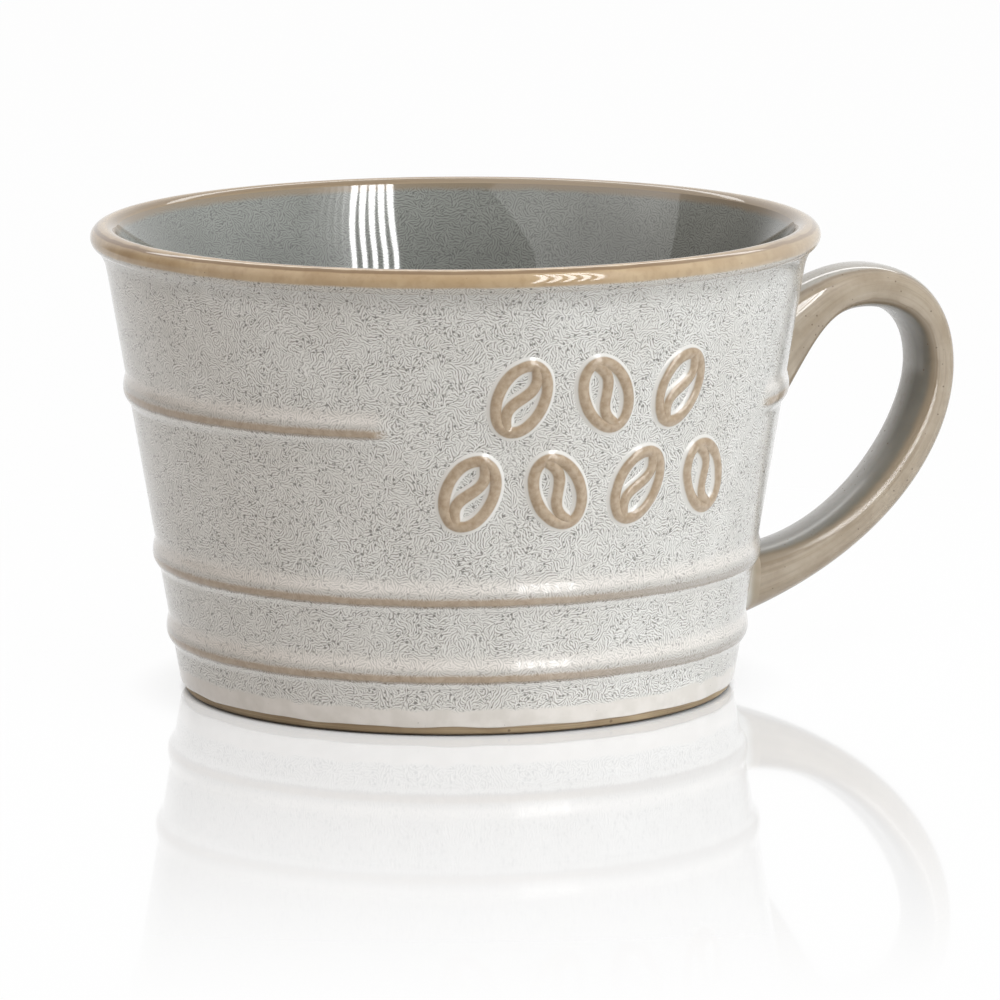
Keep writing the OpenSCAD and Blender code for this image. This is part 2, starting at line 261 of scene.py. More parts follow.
# One hoop, pushed out of the wall. It ends softly at the gap, and "Presence" tells where it runs.
def hoop_group():
    inputs = {"Geometry": "Geometry", "Crest": "Float", **dict.fromkeys(hoop_shape, "Float")}
    tree, given = new_group("raised_hoop", "Geometry", inputs, {"Geometry": "Geometry", "Presence": "Float"})
    axes = axes_of(tree, tree.nodes.new("GeometryNodeInputPosition").outputs[0])
    outward = vector_of(tree, X=axes["X"], Y=axes["Y"])
    radius = reckon_vector(tree, "LENGTH", outward)
    above = reckon(tree, "SUBTRACT", axes["Z"], given["Crest"])
    up_share = reckon(tree, "DIVIDE", above, given["Reach Above"])
    low_share = reckon(tree, "DIVIDE", product(tree, above, -1.0), given["Reach Below"])
    share = reckon(tree, "MAXIMUM", up_share, low_share, use_clamp=True)
    swell = reckon(tree, "COSINE", product(tree, share, pi / 2))
    swell = reckon(tree, "POWER", reckon(tree, "MAXIMUM", swell, 0.0), crest_power)
    from_front = reckon(tree, "ARCTAN2", axes["X"], product(tree, axes["Y"], -1.0))
    from_gap = reckon(tree, "ABSOLUTE", reckon(tree, "SUBTRACT", from_front, given["Gap Turn"]))
    gap_end = reckon(tree, "ADD", given["Half Gap"], given["Run Out"])
    there = graded(tree, from_gap, given["Half Gap"], gap_end)
    beyond = reckon(tree, "SUBTRACT", radius, wall_at(tree, given, axes["Z"]))
    outside = reckon(tree, "GREATER_THAN", beyond, -outer_skin)
    height = product(tree, product(tree, swell, there), given["Rise"])
    height = product(tree, height, outside)
    push = reckon_vector(tree, "SCALE", reckon_vector(tree, "NORMALIZE", outward), height)
    moved = formed(tree, "SetPosition", {"Geometry": given["Geometry"], "Offset": push})
    add_node(tree, "NodeGroupOutput", {0: moved, 1: there})
    return tree


hoop_tree = hoop_group()


# A shape turned on the wheel: its outline is swept round the axis, and the hoops are raised on it
def wheel_tree(name, hooped):
    inputs = {"Outline": "Geometry", "Wheel Radius": "Float", "Steps Round": "Int", "Finish": "Material"}
    if hooped:
        inputs.update(dict.fromkeys([*hoop_crests, *hoop_shape], "Float"))
    tree, given = new_group(name, "Geometry", inputs, {"Geometry": "Geometry"})
    outline = formed(tree, "MeshToCurve", {"Mesh": given["Outline"]})
    circle = {"Resolution": given["Steps Round"], "Radius": given["Wheel Radius"]}
    wheel = formed(tree, "CurvePrimitiveCircle", circle)
    turned = formed(tree, "CurveToMesh", {"Curve": wheel, "Profile Curve": outline})
    turned = formed(tree, "MergeByDistance", {"Geometry": turned, "Distance": wheel_weld})
    for crest in hoop_crests if hooped else ():
        sockets = {"Geometry": turned, "Crest": given[crest], **{size: given[size] for size in hoop_shape}}
        if crest != "Upper Crest":
            sockets["Half Gap"] = no_gap
        hoop = add_node(tree, "GeometryNodeGroup", sockets, node_tree=hoop_tree).outputs
        turned = hoop["Geometry"]
        if crest == "Upper Crest":
            mark = {"Geometry": turned, "Name": "upper_hoop", "Value": hoop["Presence"]}
            turned = formed(tree, "StoreNamedAttribute", mark)
    smooth = formed(tree, "SetShadeSmooth", {"Geometry": turned})
    whole = formed(tree, "RealizeInstances", {"Geometry": smooth})
    dressed = formed(tree, "SetMaterial", {"Geometry": whole, "Material": given["Finish"]})
    add_node(tree, "NodeGroupOutput", {0: dressed})
    return tree


plain_wheel = wheel_tree("turned_plain", False)
hooped_wheel = wheel_tree("turned_with_hoops", True)


def seal(mesh, sharp=radians(48)):
    work = bmesh.new()
    work.from_mesh(mesh)
    bmesh.ops.remove_doubles(work, verts=work.verts, dist=seal_weld)
    bmesh.ops.recalc_face_normals(work, faces=work.faces)
    work.to_mesh(mesh)
    work.free()
    mesh.shade_smooth()
    mesh.set_sharp_from_angle(angle=sharp)


def grown(name, carrier, tree, sizes):
    piece = placed(name, carrier)
    modifier = piece.modifiers.new(tree.name, "NODES")
    modifier.node_group = tree
    for item in tree.interface.items_tree:
        if item.in_out == "INPUT" and item.name in sizes:
            modifier[item.identifier] = sizes[item.name]
    evaluated = piece.evaluated_get(bpy.context.evaluated_depsgraph_get())
    whole = bpy.data.meshes.new_from_object(evaluated)
    piece.modifiers.remove(modifier)
    piece.data = whole
    seal(whole)
    return piece


def turned_piece(name, outline, closed, finish, hooped=False, steps=256):
    carrier = bpy.data.meshes.new(name)
    points = [(radius - wheel_radius, -height, 0) for radius, height in outline]
    edges = [(i, i + 1) for i in range(len(points) - 1)]
    if closed:
        edges.append((len(points) - 1, 0))
    carrier.from_pydata(points, edges, [])
    sizes = {"Wheel Radius": wheel_radius, "Steps Round": steps, "Finish": finish}
    if hooped:
        sizes.update({**hoop_crests, **hoop_shape})
    return grown(name, carrier, hooped_wheel if hooped else plain_wheel, sizes)


# A colour is written as screen levels from 0 to 255 and kept as linear light
def linear(screen):
    level = screen / 255
    return level / 12.92 if level <= 0.04045 else ((level + 0.055) / 1.055) ** 2.4


def colour(red, green, blue):
    return linear(red), linear(green), linear(blue), 1.0


def blended(tree, share, first, second):
    return add_node(tree, "ShaderNodeMix", {0: share, 6: first, 7: second}, data_type="RGBA").outputs[2]


def cloudy(tree, place, scale, detail, result=0):
    sockets = {"Vector": place, "Scale": scale, "Detail": detail}
    return add_node(tree, "ShaderNodeTexNoise", sockets).outputs[result]


def mottled(tree, cloud, first, second):
    return blended(tree, graded(tree, cloud, 0.3, 0.7), first, second)


def new_finish(name, **constants):
    finish = bpy.data.materials.new(name)
    finish.use_nodes = True
    tree = finish.node_tree
    for socket, value in constants.items():
        tree.nodes["Principled BSDF"].inputs[socket].default_value = value
    return finish, tree, tree.nodes.new("ShaderNodeTexCoord").outputs["Object"]


def coated(finish, shade, relief, strength, depth, rough=None, invert=False):
    tree = finish.node_tree
    sockets = {"Height": relief, "Strength": strength, "Distance": depth}
    bump = add_node(tree, "ShaderNodeBump", sockets, invert=invert).outputs[0]
    looks = {"Base Color": shade, "Normal": bump}
    if rough is not None:
        looks["Roughness"] = rough
    for name, look in looks.items():
        tree.links.new(look, tree.nodes["Principled BSDF"].inputs[name])
    return finish


# Dark iron grains that melt out of the clay: small round specks of many sizes, denser in drifts
def speck_group():
    inputs = {"Place": "Vector", "Grains Per Metre": "Float", "Size": "Float", "Share": "Float"}
    tree, given = new_group("iron_specks", "Shader", inputs, {"Specks": "Float"})
    sockets = {"Vector": given["Place"], "Scale": given["Grains Per Metre"]}
    grains = add_node(tree, "ShaderNodeTexVoronoi", sockets).outputs
    drift = cloudy(tree, given["Place"], 90.0, 2.0)
    pick = axes_of(tree, grains["Color"])
    chance = product(tree, given["Share"], graded(tree, drift, 0.3, 0.7, 0.4, 1.6, "LINEAR"))
    kept = reckon(tree, "LESS_THAN", pick["X"], chance)
    edge = product(tree, given["Size"], graded(tree, pick["Y"], 0.0, 1.0, 0.45, 1.0, "LINEAR"))
    dot = graded(tree, grains["Distance"], product(tree, edge, 0.5), edge, 1.0, 0.0)
    add_node(tree, "NodeGroupOutput", {0: product(tree, dot, kept)})
    return tree


iron_specks = speck_group()


def speckled(tree, place, shade, tint, strength, grains=1000.0, size=0.17, share=0.3):
    sockets = {"Place": place, "Grains Per Metre": grains, "Size": size, "Share": share}
    specks = add_node(tree, "ShaderNodeGroup", sockets, node_tree=iron_specks).outputs[0]
    return blended(tree, product(tree, specks, strength), shade, tint)


# Bare clay, with the rings that the wheel leaves and a painted contact shadow at the edge where the foot
# stands
def clay_finish():
    finish, tree, place = new_finish("bare_clay", Roughness=0.62)
    grain = cloudy(tree, place, 900.0, 4.0)
    stain = cloudy(tree, place, 120.0, 3.0)
    shade = mottled(tree, stain, colour(140, 119, 89), colour(164, 143, 112))
    shade = speckled(tree, place, shade, colour(92, 70, 48), 0.7, 700.0, 0.3, 0.22)
    stretched = reckon_vector(tree, "MULTIPLY", place, (40.0, 40.0, 5000.0))
    rings = cloudy(tree, stretched, 1.0, 2.0)
    shade = blended(tree, graded(tree, rings, 0.5, 0.65, 0.0, 0.5), shade, colour(112, 92, 66))
    height = axes_of(tree, place)["Z"]
    # painted contact shadow: the foot goes nearly black towards the table
    shade = blended(tree, graded(tree, height, *contact_shadow_edge, 0.85, 0.0), shade, colour(56, 45, 32))
    return coated(finish, shade, grain, 0.35, 0.1 * mm)


foot_outline = [(0, foot_recess)]
foot_outline += [(radius, foot_recess) for radius in spaced(0, recess_radius, recess_rows)[1:]]
foot_outline += round_corner(recess_radius + foot_inner_round, foot_inner_round, foot_inner_round, 180, 270)
foot_outline += round_corner(foot_radius, foot_round, foot_round, -90, 0)
clay_outline = foot_outline + wall_outline(foot_round, clay_rows, 0)[1:] + cove_outline(0)[1:]
clay_outline += lip_outline(0)[1:] + inside_outline(0)[1:]
bowl = turned_piece("clay_bowl", clay_outline, False, clay_finish(), hooped=True, steps=192)
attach(bowl, "root")
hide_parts("body")

# The wall's glaze. A pale reactive glaze sprayed on the outside: it shrinks into a crawl of fine worm
# lines in the firing, thins to tan over the hoops, and pools in a plain cream hem above the foot.
hem_height = 1.5 * mm
hem_sway = 0.3 * mm
hem_reach = 3 * mm
hem_round = 0.28 * mm
hem_sways_per_metre = 130
upper_tan_rise = 0.4 * mm
fine_rows = 0.36 * mm
hidden_rows = 2 * mm
crawl_sway = 1.6 * mm
crawl_shake = 0.3 * mm
band_sway = 0.35 * mm
middle_level = (0.5, 0.5, 0.5)
crawl_grey = colour(150, 145, 138)

# Where each change of the glaze and each painted shade starts and is full, by height, and by X for the tan
# of the two low hoops
crawl_begins = (4.0 * mm, 4.8 * mm)
crawl_fades = (70.4 * mm, 71.2 * mm)
# painted shadow under the lip
painted_lip_shadow = (66.5 * mm, 69.5 * mm)
low_hoops_end = (30 * mm, 36 * mm)
# painted shadow: where the low hoops' tan turns grey, and weakens, towards the right
tan_greys_to_shadow = (-15 * mm, 22 * mm)
tan_weakens_right = (-10 * mm, 45 * mm)


# The crawl: fine dark lines under half a millimetre apart that run side by side, swirl and break up, with
# small round pits between them. The wave texture's socket 5 takes the direction of the lines.
def crawl_group():
    tree, given = new_group("glaze_crawl", "Shader", {"Place": "Vector", "Normal": "Vector"},
                            {"Lines": "Float", "Pits": "Float"})
    place = given["Place"]
    swirl = cloudy(tree, place, 420.0, 1.0, "Color")
    drift = reckon_vector(tree, "SUBTRACT", swirl, middle_level)
    lift = reckon_vector(tree, "DOT_PRODUCT", drift, given["Normal"])
    off = reckon_vector(tree, "SCALE", given["Normal"], lift)
    along = reckon_vector(tree, "SUBTRACT", drift, off)
    shake = cloudy(tree, place, 900.0, 1.0, "Color")
    shake = reckon_vector(tree, "SUBTRACT", shake, middle_level)
    shake = reckon_vector(tree, "SCALE", shake, crawl_shake)
    shaken = reckon_vector(tree, "ADD", place, shake)
    order = graded(tree, cloudy(tree, place, 260.0, 1.0), 0.38, 0.62, 0.66, 1.0, "LINEAR")
    sockets = {"Vector": shaken, "Scale": 1450.0, "Frequency": 1.65, "Anisotropy": order, 5: along}
    waves = add_node(tree, "ShaderNodeTexGabor", sockets, gabor_type="3D").outputs
    lines = graded(tree, waves["Value"], 0.6, 0.34)
    cells = add_node(tree, "ShaderNodeTexVoronoi", {"Vector": place, "Scale": 1350.0}).outputs
    pick = axes_of(tree, cells["Color"])
    crowd = cloudy(tree, place, 160.0, 2.0)
    kept = reckon(tree, "LESS_THAN", pick["X"], graded(tree, crowd, 0.35, 0.65, 0.4, 1.0))
    edge = graded(tree, pick["Y"], 0.0, 1.0, 0.18, 0.36, "LINEAR")
    pit = graded(tree, cells["Distance"], product(tree, edge, 0.5), product(tree, edge, 1.3), 1.0, 0.0)
    add_node(tree, "NodeGroupOutput", {0: lines, 1: product(tree, pit, kept)})
    return tree


glaze_crawl = crawl_group()

# How the glaze lies over one hoop: it breaks to tan on the crest, with a painted grey shade above and a thin
# painted brown shadow line below. A pinkish painted light lies on the upward slope above that and fades the
# crawl there, and the light line underneath, where the glaze gathers, is a painted highlight. Each band
# starts, is full, begins to fade and ends at these heights over the crest, in millimetres.
hoop_bands = {"Tan": (-0.66, -0.4, 0.25, 1.0), "Slope": (0.3, 1.6, 2.2, 4.6), "Shade Above": (0.4, 0.9, 1.0, 1.9),
              "Shade Below": (-0.95, -0.7, -0.6, -0.3), "Light": (-1.9, -1.3, -1.1, -0.85)}


def hoop_band_group():
    tree, given = new_group("hoop_band", "Shader", {"Height": "Float", "Crest": "Float", "Presence": "Float"},
                            dict.fromkeys(hoop_bands, "Float"))
    above = reckon(tree, "SUBTRACT", given["Height"], given["Crest"])
    bands = []
    for start, full, fading, end in hoop_bands.values():
        rising = graded(tree, above, start * mm, full * mm)
        falling = graded(tree, above, fading * mm, end * mm, 1.0, 0.0)
        bands.append(product(tree, product(tree, rising, falling), given["Presence"]))
    add_node(tree, "NodeGroupOutput", dict(enumerate(bands)))
    return tree


hoop_band = hoop_band_group()


def mark_value(tree, mark):
    return add_node(tree, "ShaderNodeAttribute", attribute_name=mark).outputs["Fac"]


def crawl_marks(tree, place):
    normal = tree.nodes.new("ShaderNodeTexCoord").outputs["Normal"]
    sockets = {"Place": place, "Normal": normal}
    marks = add_node(tree, "ShaderNodeGroup", sockets, node_tree=glaze_crawl).outputs
    return marks["Lines"], marks["Pits"]


def swayed_height(tree, place, sway, amount):
    height = axes_of(tree, place)["Z"]
    return reckon(tree, "MULTIPLY_ADD", reckon(tree, "SUBTRACT", sway, 0.5), amount, height)


def wall_glaze_finish():
    finish, tree, place = new_finish("wall_glaze", IOR=1.5)
    cloud = cloudy(tree, place, 60.0, 4.0)
    patch = cloudy(tree, place, 300.0, 3.0)
    lines, pits = crawl_marks(tree, place)
    swayed = swayed_height(tree, place, patch, crawl_sway)
    crawled = product(tree, graded(tree, swayed, *crawl_begins),
                      graded(tree, swayed, *crawl_fades, 1.0, 0.4))
    bands = dict.fromkeys(hoop_bands, 0.0)
    for crest, crest_height in hoop_crests.items():
        presence = 1.0
        if crest == "Upper Crest":
            presence = mark_value(tree, "upper_hoop")
            crest_height += upper_tan_rise
        height = swayed_height(tree, place, patch, band_sway)
        sockets = {"Height": height, "Crest": crest_height, "Presence": presence}
        hoop = add_node(tree, "ShaderNodeGroup", sockets, node_tree=hoop_band).outputs
        bands = {band: reckon(tree, "ADD", total, hoop[band]) for band, total in bands.items()}
    # painted light on each hoop's upward slope fades the crawl there
    lit_slope_fade = product(tree, bands["Slope"], 0.45)
    depth = product(tree, crawled, graded(tree, patch, 0.25, 0.6, 0.7, 1.0))
    depth = product(tree, depth, reckon(tree, "SUBTRACT", 1.0, lit_slope_fade))
    dark = product(tree, lines, depth)
    ground = mottled(tree, cloud, colour(211, 207, 201), colour(218, 215, 210))
    # painted light: the upward slope of each hoop is lighter and pinkish
    ground = blended(tree, product(tree, bands["Slope"], 0.6), ground, colour(222, 213, 205))
    hem = blended(tree, graded(tree, patch, 0.35, 0.65), colour(203, 196, 188), colour(212, 205, 198))
    ground = blended(tree, crawled, hem, ground)
    # painted shadow: the wall is greyed just under the lip
    under_lip_painted_shadow = graded(tree, swayed, *painted_lip_shadow, 0.0, 0.4)
    ground = blended(tree, under_lip_painted_shadow, ground, colour(164, 160, 153))
    shade = blended(tree, dark, ground, crawl_grey)
    pitted = product(tree, product(tree, pits, depth), 0.85)
    shade = blended(tree, pitted, shade, colour(104, 100, 94))
    # painted shade just above each crest
    shade = blended(tree, product(tree, bands["Shade Above"], 0.4), shade, colour(150, 144, 136))
    # painted highlight along the gathered glaze under each hoop
    shade = blended(tree, product(tree, bands["Light"], 0.4), shade, colour(222, 219, 214))
    tan = mottled(tree, cloudy(tree, place, 900.0, 3.0), colour(148, 128, 105), colour(166, 147, 125))
    axes = axes_of(tree, place)
    low = graded(tree, axes["Z"], *low_hoops_end, 1.0, 0.0)
    # painted shadow: on the right the two low hoops' tan is weakened and greyed into a shadow line
    painted_shadow_grey = product(tree, low, graded(tree, axes["X"], *tan_greys_to_shadow, 0.0, 0.85))
    tan = blended(tree, painted_shadow_grey, tan, colour(144, 137, 129))
    right_share = product(tree, low, graded(tree, axes["X"], *tan_weakens_right))
    bare = reckon(tree, "MULTIPLY_ADD", right_share, -0.3, 0.92)
    shade = blended(tree, product(tree, bands["Tan"], bare), shade, tan)
    # painted shadow line under each crest
    shade = blended(tree, product(tree, bands["Shade Below"], 0.6), shade, colour(124, 106, 88))
    shade = speckled(tree, place, shade, colour(104, 96, 86), 0.6, 1150.0, 0.16, 0.22)
    rough = graded(tree, dark, 0.0, 1.0, 0.045, 0.16, "LINEAR")
    return coated(finish, shade, dark, 0.25, 0.04 * mm, rough, invert=True)


hem_outer = wall_radius(hem_height) + glaze_thickness - hem_round
coat_outline = [(wall_radius(hem_height), hem_height)]
coat_outline += round_corner(hem_outer, hem_height + hem_round, hem_round, -90, 0, 6)
coat_outline += wall_outline(hem_height + 2 * hem_round, fine_rows, glaze_thickness)
coat_outline += cove_outline(glaze_thickness)[1:]
coat_outline += cove_outline(0)[::-1]
coat_outline += wall_outline(hem_height + hem_reach, hidden_rows, 0)[-2::-1]
wall_coat = turned_piece("wall_glaze_coat", coat_outline, True, wall_glaze_finish(), hooped=True)
for vertex in wall_coat.data.vertices:
    fade = 1 - (vertex.co.z - hem_height) / hem_reach
    if fade > 0:
        around = Vector((vertex.co.x, vertex.co.y, 0)).normalized() * base_radius
        vertex.co.z += fade * hem_sway * noise.noise(around * hem_sways_per_metre)
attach(wall_coat, "root")
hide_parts("wall_glaze")

# The rim's glaze. The same coat where it runs off the rolled lip: too thin there to stay white, it breaks to
# a warm tan with a brown line under the crest, browner inside, and turns pale where the wall's coat begins.
# Towards the right it is painted lighter, as a painted reflection of the right soft box.
pale_ends = (bowl_height - 2.4 * mm, bowl_height - 1.9 * mm)
brown_begins = (bowl_height - 0.2 * mm, bowl_height)
brown_ends = (bowl_height + 0.24 * mm, bowl_height + 0.36 * mm)
inside_ends = (lip_radius - 0.9 * mm, lip_radius)
# painted reflection of the right soft box, by X
right_painted_reflection = (0.0, 45 * mm)
lip_sway = 0.4 * mm


def rim_glaze_finish():
    finish, tree, place = new_finish("rim_glaze", IOR=1.5)
    radius = reckon_vector(tree, "LENGTH", reckon_vector(tree, "MULTIPLY", place, (1.0, 1.0, 0.0)))
    drift = cloudy(tree, place, 160.0, 4.0)
    fine = cloudy(tree, place, 900.0, 3.0)
    swayed = swayed_height(tree, place, drift, lip_sway)
    shade = mottled(tree, drift, colour(164, 138, 104), colour(184, 160, 127))
    shade = blended(tree, graded(tree, fine, 0.45, 0.75, 0.0, 0.3), shade, colour(142, 115, 84))
    brown = product(tree, graded(tree, swayed, *brown_begins, 0.0, 0.75),
                    graded(tree, swayed, *brown_ends, 1.0, 0.0))
    shade = blended(tree, brown, shade, colour(116, 90, 62))
    shade = speckled(tree, place, shade, colour(92, 70, 50), 0.7, 900.0, 0.15, 0.2)
    under = graded(tree, swayed, *pale_ends, 1.0, 0.0)
    lines, pits = crawl_marks(tree, place)
    pale = blended(tree, lines, colour(192, 186, 177), crawl_grey)
    shade = blended(tree, under, shade, blended(tree, pits, pale, colour(112, 107, 100)))
    inside = graded(tree, radius, *inside_ends, 0.8, 0.0)
    shade = blended(tree, inside, shade, colour(134, 115, 90))
    # painted reflection: the rim lightens towards the right
    painted_reflection_right = graded(tree, axes_of(tree, place)["X"], *right_painted_reflection, 0.0, 0.35)
    shade = blended(tree, painted_reflection_right, shade, colour(176, 163, 147))
    return coated(finish, shade, drift, 0.1, 0.1 * mm, graded(tree, fine, 0.3, 0.7, 0.03, 0.08))


rim_outline = lip_outline(glaze_thickness, 56) + lip_outline(0, 20)[::-1]
rim_coat = turned_piece("rim_glaze_coat", rim_outline, True, rim_glaze_finish())
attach(rim_coat, "root")
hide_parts("rim_glaze")

# The liner glaze. A grey glaze poured round the inside and tipped out: glossier and darker than the
# outside, with the same crawl at a low contrast, and run thin to brown at its top edge.
top_thins = (bowl_height - 1.8 * mm, bowl_height - 0.7 * mm)
top_sway = 1 * mm
hidden_liner_rows = 4 * mm


def liner_glaze_finish():
    finish, tree, place = new_finish("liner_glaze", IOR=1.75)
    drift = cloudy(tree, place, 160.0, 4.0)
    cloud = cloudy(tree, place, 70.0, 4.0)
    lines, pits = crawl_marks(tree, place)
    ground = mottled(tree, cloud, colour(125, 126, 120), colour(139, 140, 134))
    shade = blended(tree, lines, ground, colour(103, 104, 98))
    shade = blended(tree, product(tree, pits, 0.5), shade, colour(76, 77, 72))
    top_edge = swayed_height(tree, place, drift, top_sway)
    shade = blended(tree, graded(tree, top_edge, *top_thins, 0.0, 0.9), shade, colour(134, 117, 94))
    rough = graded(tree, lines, 0.0, 1.0, 0.03, 0.06, "LINEAR")
    return coated(finish, shade, drift, 0.012, 0.1 * mm, rough)


liner_outline = inside_outline(glaze_thickness) + inside_outline(0, hidden_liner_rows, 8)[::-1]
liner_coat = turned_piece("liner_glaze_coat", liner_outline, False, liner_glaze_finish())
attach(liner_coat, "root")
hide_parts("liner_glaze")

# The underside's glaze. A disc of the wall's glaze inside the foot ring, rounded at its edge, which stays
# clear of the table.
underside_edge = 0.3 * mm
underside_low = foot_recess - glaze_thickness
underside_outline = [(0, underside_low)]
underside_outline += round_corner(recess_radius - underside_edge, underside_low + underside_edge,
                                  underside_edge, -90, 0, 5)
underside_outline += [(recess_radius, foot_recess), (0, foot_recess)]
underside = turned_piece("underside_glaze_coat", underside_outline, False, bpy.data.materials["wall_glaze"])
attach(underside, "root")
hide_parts("underside_glaze")

# The handle. A strap of the same clay, pressed in a mould, bent to an ear and luted on: flat sides, softly
# rounded broad faces, and ends that widen where they meet the wall.
handle_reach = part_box("handle_glaze")[1].x
strap_thickness = 5.8 * mm
strap_width = 11.5 * mm
root_width = 13 * mm
ear_middle = 46 * mm
upper_root = (56.3 * mm, 33.8 * mm)
lower_root = (6.4 * mm, 18.4 * mm)
opening_top = Vector((71.6 * mm, 56 * mm))
root_standoff = 1.18 * mm
strap_power = 0.72
root_share = 0.2
core_rings = 90
core_sides = 32


def root_radius(z):
    return wall_radius(z) + root_standoff


# A curve of four points in reach and height. Each pull says how far a middle point lies from its end.
def pulled_curve(start, start_pull, end, end_pull):
    return [start, start + Vector(start_pull), end + Vector(end_pull), end]


# Each edge of the strap runs from the upper root to the lower
outermost = Vector((handle_reach, ear_middle))
innermost = Vector((handle_reach - strap_thickness, ear_middle))
upper_seats = [Vector((root_radius(z), z)) for z in upper_root]
lower_seats = [Vector((root_radius(z), z)) for z in lower_root]
outer_arch = pulled_curve(upper_seats[0], (16.4 * mm, 12.3 * mm), outermost, (0, 17.3 * mm))
outer_leg = pulled_curve(outermost, (0, -16 * mm), lower_seats[0], (26.8 * mm, 7.3 * mm))
inner_tail = pulled_curve(upper_seats[1], (10.9 * mm, 10.8 * mm), opening_top, (-12.1 * mm, 0))
inner_arch = pulled_curve(opening_top, (3.7 * mm, 0), innermost, (0, 8.9 * mm))
inner_leg = pulled_curve(innermost, (0, -9 * mm), lower_seats[1], (20.9 * mm, -2.1 * mm))


def along_curve(curve, t):
    first, second, third, fourth = curve
    return (first * (1 - t) ** 3 + second * 3 * t * (1 - t) ** 2
            + third * 3 * t * t * (1 - t) + fourth * t ** 3)


def outer_edge(s):
    return along_curve(outer_arch, 2 * s) if s < 0.5 else along_curve(outer_leg, 2 * s - 1)


def inner_edge(s):
    if s < 0.25:
        return along_curve(inner_tail, 4 * s)
    return along_curve(inner_arch, 4 * s - 1) if s < 0.5 else along_curve(inner_leg, 2 * s - 1)


def signed_power(x, power):
    return abs(x) ** power * (1 if x >= 0 else -1)


def near_root(s):
    return max(0, 1 - min(s, 1 - s) / root_share) ** 2


def strap_point(s, turn, inset):
    outer = outer_edge(s)
    inner = inner_edge(s)
    half = (outer - inner) / 2 * (1 - 2 * inset / (outer - inner).length)
    middle = (outer + inner) / 2 + half * signed_power(sin(turn), strap_power)
    side = (strap_width + (root_width - strap_width) * near_root(s)) / 2 - inset
    across = side * signed_power(cos(turn), strap_power)
    seat = root_radius(middle.y)
    fall = seat - sqrt(seat ** 2 - across ** 2)
    return middle.x - fall * near_root(s), across, middle.y


def ring_faces(first, second, sides):
    faces = []
    for k in range(sides):
        after = (k + 1) % sides
        faces.append((first + k, first + after, second + after, second + k))
    return faces


def strap_skin(rings, sides, inset):
    turns = [tau * k / sides for k in range(sides)]
    points = [strap_point(s, turn, inset) for s in shares(rings) for turn in turns]
    faces = []
    for ring in range(rings):
        faces += ring_faces(ring * sides, (ring + 1) * sides, sides)
    return points, faces


def mesh_piece(name, points, faces, finish):
    mesh = bpy.data.meshes.new(name)
    mesh.from_pydata(points, [], faces)
    mesh.materials.append(finish)
    seal(mesh)
    return placed(name, mesh)


core_points, core_faces = strap_skin(core_rings, core_sides, glaze_thickness)
core_faces.append(tuple(range(core_sides)))
core_faces.append(tuple(range(core_rings * core_sides, (core_rings + 1) * core_sides)))
handle_core = mesh_piece("handle_clay", core_points, core_faces, bpy.data.materials["bare_clay"])
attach(handle_core, "root")
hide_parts("handle")

# The handle's glaze. One coat all round the strap: grey on the broad outer face, streaked tan on the flat
# sides where it runs thin, with iron specks from the clay. The finger side is painted dark grey as shade,
# painted pale towards the back as a reflection, and is brown at its edges.
coat_rings = 180
coat_sides = 72
streaks = (12.0, 12.0, 7.0)


def handle_glaze_finish():
    finish, tree, place = new_finish("handle_glaze", IOR=1.6)
    drift = cloudy(tree, place, 200.0, 4.0)
    fine = cloudy(tree, place, 1100.0, 3.0)
    sideways = reckon(tree, "ABSOLUTE", axes_of(tree, place.node.outputs["Normal"])["Y"])
    sideways = reckon(tree, "MULTIPLY_ADD", reckon(tree, "SUBTRACT", drift, 0.5), 0.2, sideways)
    outer = mottled(tree, drift, colour(162, 157, 149), colour(172, 167, 159))
    # painted shade: the finger side is a darker copy of the outer face's grey
    inner = mottled(tree, drift, colour(112, 109, 100), colour(120, 116, 107))
    strap = add_node(tree, "ShaderNodeAttribute", attribute_name="strap_place").outputs["Vector"]
    across = axes_of(tree, strap)["X"]
    # painted reflection: the finger side pales towards its back edge
    inner = blended(tree, graded(tree, across, -0.2, 0.32, 0.0, 0.95), inner, colour(198, 196, 193))
    inner = blended(tree, graded(tree, sideways, 0.35, 0.7, 0.0, 0.75), inner, colour(138, 119, 94))
    fingers = mark_value(tree, "finger_side")
    broad = blended(tree, fingers, outer, inner)
    bare_start = reckon(tree, "MULTIPLY_ADD", fingers, 0.46, 0.3)
    bare_full = reckon(tree, "MULTIPLY_ADD", fingers, 0.29, 0.7)
    bare = graded(tree, sideways, bare_start, bare_full)
    streak = cloudy(tree, reckon_vector(tree, "MULTIPLY", strap, streaks), 1.0, 3.0)
    thin = mottled(tree, drift, colour(148, 132, 111), colour(162, 147, 127))
    thin = blended(tree, graded(tree, streak, 0.5, 0.68, 0.0, 0.35), thin, colour(130, 114, 94))
    thin = blended(tree, graded(tree, streak, 0.46, 0.3, 0.0, 0.25), thin, colour(178, 166, 149))
    shade = blended(tree, bare, broad, thin)
    edge = product(tree, graded(tree, bare, 0.1, 0.5), graded(tree, bare, 0.6, 1.0, 1.0, 0.0))
    shade = blended(tree, product(tree, edge, 0.6), shade, colour(124, 105, 80))
    shade = blended(tree, graded(tree, fine, 0.45, 0.75, 0.0, 0.2), shade, colour(132, 115, 94))
    shade = speckled(tree, place, shade, colour(92, 72, 52), 0.75, 900.0, 0.2, 0.35)
    matt = product(tree, fingers, reckon(tree, "SUBTRACT", 1.0, bare))
    rough = reckon(tree, "MULTIPLY_ADD", matt, 0.22, graded(tree, fine, 0.3, 0.7, 0.02, 0.05))
    return coated(finish, shade, drift, 0.06, 0.2 * mm, rough)


